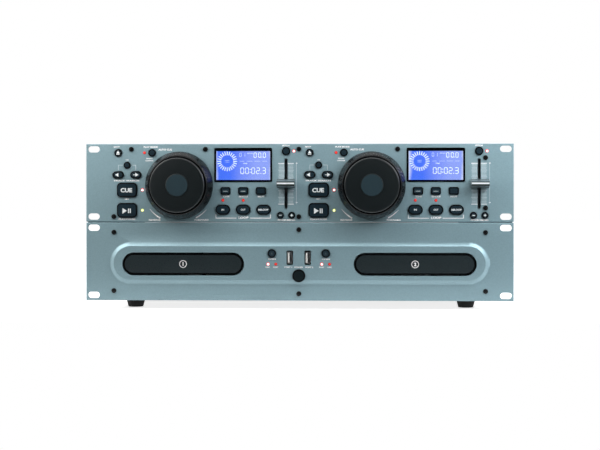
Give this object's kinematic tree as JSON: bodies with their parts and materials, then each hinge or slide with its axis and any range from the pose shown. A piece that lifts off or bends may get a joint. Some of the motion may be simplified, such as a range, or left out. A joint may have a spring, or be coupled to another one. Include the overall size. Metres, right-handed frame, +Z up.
{
  "type": "dual cd player for dj",
  "caption": "Rack-mount disc player pair for DJs: a slim control unit with jog wheels, displays and pitch faders stands on a disc unit with sliding trays.",
  "frame": {"origin": "centre of the foot of the bounding box", "axes": "+Z up, +X to the user's right, front panels face -Y"},
  "size_m": [0.4826, 0.288, 0.187],
  "materials": {
    "panel_finish": "blue-grey metallic paint, fine grain",
    "case_steel": "black powder coat, fine texture",
    "key_plastic": "satin",
    "ring_plastic": "gloss",
    "dial_plastic": "satin",
    "knob_plastic": "silver satin",
    "display": "gloss",
    "lamp": "clear red",
    "black_screw": "black oxide",
    "rubber": "matte",
    "drive_plastic": "moulded",
    "board": "solder mask",
    "connector": "moulded",
    "tray_plastic": "satin",
    "gear_plastic": "acetal",
    "spindle_metal": "moulded, rubber faced"
  },
  "bodies": {
    "cases": {"controller_front_panel": "panel_finish", "controller_housing": "case_steel", "display_modules": "display", "indicator_lamps": "lamp", "panel_screws": "black_screw", "player_front_panel": "panel_finish", "player_chassis": "case_steel", "player_top_cover": "case_steel", "rubber_feet": "rubber", "disc_drive_a": "drive_plastic", "disc_drive_b": "drive_plastic", "circuit_boards": "board", "connectors": "connector"},
    "eject_key_a": {"eject_key_a": "key_plastic"},
    "mode_key_a": {"mode_key_a": "key_plastic"},
    "search_key_a": {"search_key_a": "key_plastic"},
    "track_back_key_a": {"track_back_key_a": "key_plastic"},
    "track_next_key_a": {"track_next_key_a": "key_plastic"},
    "cue_key_a": {"cue_key_a": "key_plastic"},
    "play_key_a": {"play_key_a": "key_plastic"},
    "time_key_a": {"time_key_a": "key_plastic"},
    "single_key_a": {"single_key_a": "key_plastic"},
    "relay_key_a": {"relay_key_a": "key_plastic"},
    "loop_in_key_a": {"loop_in_key_a": "key_plastic"},
    "loop_out_key_a": {"loop_out_key_a": "key_plastic"},
    "reloop_key_a": {"reloop_key_a": "key_plastic"},
    "pitch_key_a": {"pitch_key_a": "key_plastic"},
    "bend_down_key_a": {"bend_down_key_a": "key_plastic"},
    "bend_up_key_a": {"bend_up_key_a": "key_plastic"},
    "shuttle_ring_a": {"shuttle_ring_a": "ring_plastic"},
    "jog_dial_a": {"jog_dial_a": "dial_plastic"},
    "pitch_fader_knob_a": {"pitch_fader_knob_a": "knob_plastic"},
    "disc_tray_a": {"disc_tray_a": "tray_plastic"},
    "tray_pinion_a": {"tray_pinion_a": "gear_plastic"},
    "disc_spindle_a": {"disc_spindle_a": "spindle_metal"},
    "eject_key_b": {"eject_key_b": "key_plastic"},
    "mode_key_b": {"mode_key_b": "key_plastic"},
    "search_key_b": {"search_key_b": "key_plastic"},
    "track_back_key_b": {"track_back_key_b": "key_plastic"},
    "track_next_key_b": {"track_next_key_b": "key_plastic"},
    "cue_key_b": {"cue_key_b": "key_plastic"},
    "play_key_b": {"play_key_b": "key_plastic"},
    "time_key_b": {"time_key_b": "key_plastic"},
    "single_key_b": {"single_key_b": "key_plastic"},
    "relay_key_b": {"relay_key_b": "key_plastic"},
    "loop_in_key_b": {"loop_in_key_b": "key_plastic"},
    "loop_out_key_b": {"loop_out_key_b": "key_plastic"},
    "reloop_key_b": {"reloop_key_b": "key_plastic"},
    "pitch_key_b": {"pitch_key_b": "key_plastic"},
    "bend_down_key_b": {"bend_down_key_b": "key_plastic"},
    "bend_up_key_b": {"bend_up_key_b": "key_plastic"},
    "shuttle_ring_b": {"shuttle_ring_b": "ring_plastic"},
    "jog_dial_b": {"jog_dial_b": "dial_plastic"},
    "pitch_fader_knob_b": {"pitch_fader_knob_b": "knob_plastic"},
    "disc_tray_b": {"disc_tray_b": "tray_plastic"},
    "tray_pinion_b": {"tray_pinion_b": "gear_plastic"},
    "disc_spindle_b": {"disc_spindle_b": "spindle_metal"},
    "open_key_a": {"open_key_a": "key_plastic"},
    "open_key_b": {"open_key_b": "key_plastic"},
    "power_key": {"power_key": "key_plastic"}
  },
  "joints": [
    {"name": "eject_key_a_press", "type": "slide", "parent": "cases", "child": "eject_key_a", "axis": [0, 1, 0], "range_m": [0, 0.001], "stiffness_N_per_m": 400, "springref_m": -0.0005},
    {"name": "mode_key_a_press", "type": "slide", "parent": "cases", "child": "mode_key_a", "axis": [0, 1, 0], "range_m": [0, 0.001], "stiffness_N_per_m": 400, "springref_m": -0.0005},
    {"name": "search_key_a_press", "type": "slide", "parent": "cases", "child": "search_key_a", "axis": [0, 1, 0], "range_m": [0, 0.001], "stiffness_N_per_m": 400, "springref_m": -0.0005},
    {"name": "track_back_key_a_press", "type": "slide", "parent": "cases", "child": "track_back_key_a", "axis": [0, 1, 0], "range_m": [0, 0.001], "stiffness_N_per_m": 400, "springref_m": -0.0005},
    {"name": "track_next_key_a_press", "type": "slide", "parent": "cases", "child": "track_next_key_a", "axis": [0, 1, 0], "range_m": [0, 0.001], "stiffness_N_per_m": 400, "springref_m": -0.0005},
    {"name": "cue_key_a_press", "type": "slide", "parent": "cases", "child": "cue_key_a", "axis": [0, 1, 0], "range_m": [0, 0.001], "stiffness_N_per_m": 400, "springref_m": -0.0005},
    {"name": "play_key_a_press", "type": "slide", "parent": "cases", "child": "play_key_a", "axis": [0, 1, 0], "range_m": [0, 0.001], "stiffness_N_per_m": 400, "springref_m": -0.0005},
    {"name": "time_key_a_press", "type": "slide", "parent": "cases", "child": "time_key_a", "axis": [0, 1, 0], "range_m": [0, 0.001], "stiffness_N_per_m": 400, "springref_m": -0.0005},
    {"name": "single_key_a_press", "type": "slide", "parent": "cases", "child": "single_key_a", "axis": [0, 1, 0], "range_m": [0, 0.001], "stiffness_N_per_m": 400, "springref_m": -0.0005},
    {"name": "relay_key_a_press", "type": "slide", "parent": "cases", "child": "relay_key_a", "axis": [0, 1, 0], "range_m": [0, 0.001], "stiffness_N_per_m": 400, "springref_m": -0.0005},
    {"name": "loop_in_key_a_press", "type": "slide", "parent": "cases", "child": "loop_in_key_a", "axis": [0, 1, 0], "range_m": [0, 0.001], "stiffness_N_per_m": 400, "springref_m": -0.0005},
    {"name": "loop_out_key_a_press", "type": "slide", "parent": "cases", "child": "loop_out_key_a", "axis": [0, 1, 0], "range_m": [0, 0.001], "stiffness_N_per_m": 400, "springref_m": -0.0005},
    {"name": "reloop_key_a_press", "type": "slide", "parent": "cases", "child": "reloop_key_a", "axis": [0, 1, 0], "range_m": [0, 0.001], "stiffness_N_per_m": 400, "springref_m": -0.0005},
    {"name": "pitch_key_a_press", "type": "slide", "parent": "cases", "child": "pitch_key_a", "axis": [0, 1, 0], "range_m": [0, 0.001], "stiffness_N_per_m": 400, "springref_m": -0.0005},
    {"name": "bend_down_key_a_press", "type": "slide", "parent": "cases", "child": "bend_down_key_a", "axis": [0, 1, 0], "range_m": [0, 0.001], "stiffness_N_per_m": 400, "springref_m": -0.0005},
    {"name": "bend_up_key_a_press", "type": "slide", "parent": "cases", "child": "bend_up_key_a", "axis": [0, 1, 0], "range_m": [0, 0.001], "stiffness_N_per_m": 400, "springref_m": -0.0005},
    {"name": "shuttle_ring_a_turn", "type": "hinge", "parent": "cases", "child": "shuttle_ring_a", "pos_m": [-0.1351, -0.118, 0.14005], "axis": [0, 1, 0], "range_deg": [-55, 55], "stiffness_Nm_per_rad": 0.03},
    {"name": "jog_dial_a_spin", "type": "hinge", "parent": "cases", "child": "jog_dial_a", "pos_m": [-0.1351, -0.118, 0.14005], "axis": [0, 1, 0], "continuous": true},
    {"name": "pitch_fader_knob_a_slide", "type": "slide", "parent": "cases", "child": "pitch_fader_knob_a", "axis": [0, 0, 1], "range_m": [-0.023, 0.023]},
    {"name": "disc_tray_a_slide", "type": "slide", "parent": "cases", "child": "disc_tray_a", "axis": [0, -1, 0], "range_m": [0, 0.135]},
    {"name": "tray_pinion_a_spin", "type": "hinge", "parent": "cases", "child": "tray_pinion_a", "pos_m": [-0.0937, -0.096, 0.04635], "axis": [0, 0, 1], "range_deg": [-860, 0]},
    {"name": "disc_spindle_a_spin", "type": "hinge", "parent": "cases", "child": "disc_spindle_a", "pos_m": [-0.1307, -0.046, 0.04635], "axis": [0, 0, 1], "continuous": true},
    {"name": "eject_key_b_press", "type": "slide", "parent": "cases", "child": "eject_key_b", "axis": [0, 1, 0], "range_m": [0, 0.001], "stiffness_N_per_m": 400, "springref_m": -0.0005},
    {"name": "mode_key_b_press", "type": "slide", "parent": "cases", "child": "mode_key_b", "axis": [0, 1, 0], "range_m": [0, 0.001], "stiffness_N_per_m": 400, "springref_m": -0.0005},
    {"name": "search_key_b_press", "type": "slide", "parent": "cases", "child": "search_key_b", "axis": [0, 1, 0], "range_m": [0, 0.001], "stiffness_N_per_m": 400, "springref_m": -0.0005},
    {"name": "track_back_key_b_press", "type": "slide", "parent": "cases", "child": "track_back_key_b", "axis": [0, 1, 0], "range_m": [0, 0.001], "stiffness_N_per_m": 400, "springref_m": -0.0005},
    {"name": "track_next_key_b_press", "type": "slide", "parent": "cases", "child": "track_next_key_b", "axis": [0, 1, 0], "range_m": [0, 0.001], "stiffness_N_per_m": 400, "springref_m": -0.0005},
    {"name": "cue_key_b_press", "type": "slide", "parent": "cases", "child": "cue_key_b", "axis": [0, 1, 0], "range_m": [0, 0.001], "stiffness_N_per_m": 400, "springref_m": -0.0005},
    {"name": "play_key_b_press", "type": "slide", "parent": "cases", "child": "play_key_b", "axis": [0, 1, 0], "range_m": [0, 0.001], "stiffness_N_per_m": 400, "springref_m": -0.0005},
    {"name": "time_key_b_press", "type": "slide", "parent": "cases", "child": "time_key_b", "axis": [0, 1, 0], "range_m": [0, 0.001], "stiffness_N_per_m": 400, "springref_m": -0.0005},
    {"name": "single_key_b_press", "type": "slide", "parent": "cases", "child": "single_key_b", "axis": [0, 1, 0], "range_m": [0, 0.001], "stiffness_N_per_m": 400, "springref_m": -0.0005},
    {"name": "relay_key_b_press", "type": "slide", "parent": "cases", "child": "relay_key_b", "axis": [0, 1, 0], "range_m": [0, 0.001], "stiffness_N_per_m": 400, "springref_m": -0.0005},
    {"name": "loop_in_key_b_press", "type": "slide", "parent": "cases", "child": "loop_in_key_b", "axis": [0, 1, 0], "range_m": [0, 0.001], "stiffness_N_per_m": 400, "springref_m": -0.0005},
    {"name": "loop_out_key_b_press", "type": "slide", "parent": "cases", "child": "loop_out_key_b", "axis": [0, 1, 0], "range_m": [0, 0.001], "stiffness_N_per_m": 400, "springref_m": -0.0005},
    {"name": "reloop_key_b_press", "type": "slide", "parent": "cases", "child": "reloop_key_b", "axis": [0, 1, 0], "range_m": [0, 0.001], "stiffness_N_per_m": 400, "springref_m": -0.0005},
    {"name": "pitch_key_b_press", "type": "slide", "parent": "cases", "child": "pitch_key_b", "axis": [0, 1, 0], "range_m": [0, 0.001], "stiffness_N_per_m": 400, "springref_m": -0.0005},
    {"name": "bend_down_key_b_press", "type": "slide", "parent": "cases", "child": "bend_down_key_b", "axis": [0, 1, 0], "range_m": [0, 0.001], "stiffness_N_per_m": 400, "springref_m": -0.0005},
    {"name": "bend_up_key_b_press", "type": "slide", "parent": "cases", "child": "bend_up_key_b", "axis": [0, 1, 0], "range_m": [0, 0.001], "stiffness_N_per_m": 400, "springref_m": -0.0005},
    {"name": "shuttle_ring_b_turn", "type": "hinge", "parent": "cases", "child": "shuttle_ring_b", "pos_m": [0.0819, -0.118, 0.14005], "axis": [0, 1, 0], "range_deg": [-55, 55], "stiffness_Nm_per_rad": 0.03},
    {"name": "jog_dial_b_spin", "type": "hinge", "parent": "cases", "child": "jog_dial_b", "pos_m": [0.0819, -0.118, 0.14005], "axis": [0, 1, 0], "continuous": true},
    {"name": "pitch_fader_knob_b_slide", "type": "slide", "parent": "cases", "child": "pitch_fader_knob_b", "axis": [0, 0, 1], "range_m": [-0.023, 0.023]},
    {"name": "disc_tray_b_slide", "type": "slide", "parent": "cases", "child": "disc_tray_b", "axis": [0, -1, 0], "range_m": [0, 0.135]},
    {"name": "tray_pinion_b_spin", "type": "hinge", "parent": "cases", "child": "tray_pinion_b", "pos_m": [0.1677, -0.096, 0.04635], "axis": [0, 0, 1], "range_deg": [-860, 0]},
    {"name": "disc_spindle_b_spin", "type": "hinge", "parent": "cases", "child": "disc_spindle_b", "pos_m": [0.1307, -0.046, 0.04635], "axis": [0, 0, 1], "continuous": true},
    {"name": "open_key_a_press", "type": "slide", "parent": "cases", "child": "open_key_a", "axis": [0, 1, 0], "range_m": [0, 0.001], "stiffness_N_per_m": 400, "springref_m": -0.0005},
    {"name": "open_key_b_press", "type": "slide", "parent": "cases", "child": "open_key_b", "axis": [0, 1, 0], "range_m": [0, 0.001], "stiffness_N_per_m": 400, "springref_m": -0.0005},
    {"name": "power_key_press", "type": "slide", "parent": "cases", "child": "power_key", "axis": [0, 1, 0], "range_m": [0, 0.001], "stiffness_N_per_m": 400, "springref_m": -0.0005}
  ],
  "couplings": [
    {"joint": "tray_pinion_a_spin", "follows": "disc_tray_a_slide", "rad_per_m": -111.11},
    {"joint": "tray_pinion_b_spin", "follows": "disc_tray_b_slide", "rad_per_m": -111.11}
  ]
}
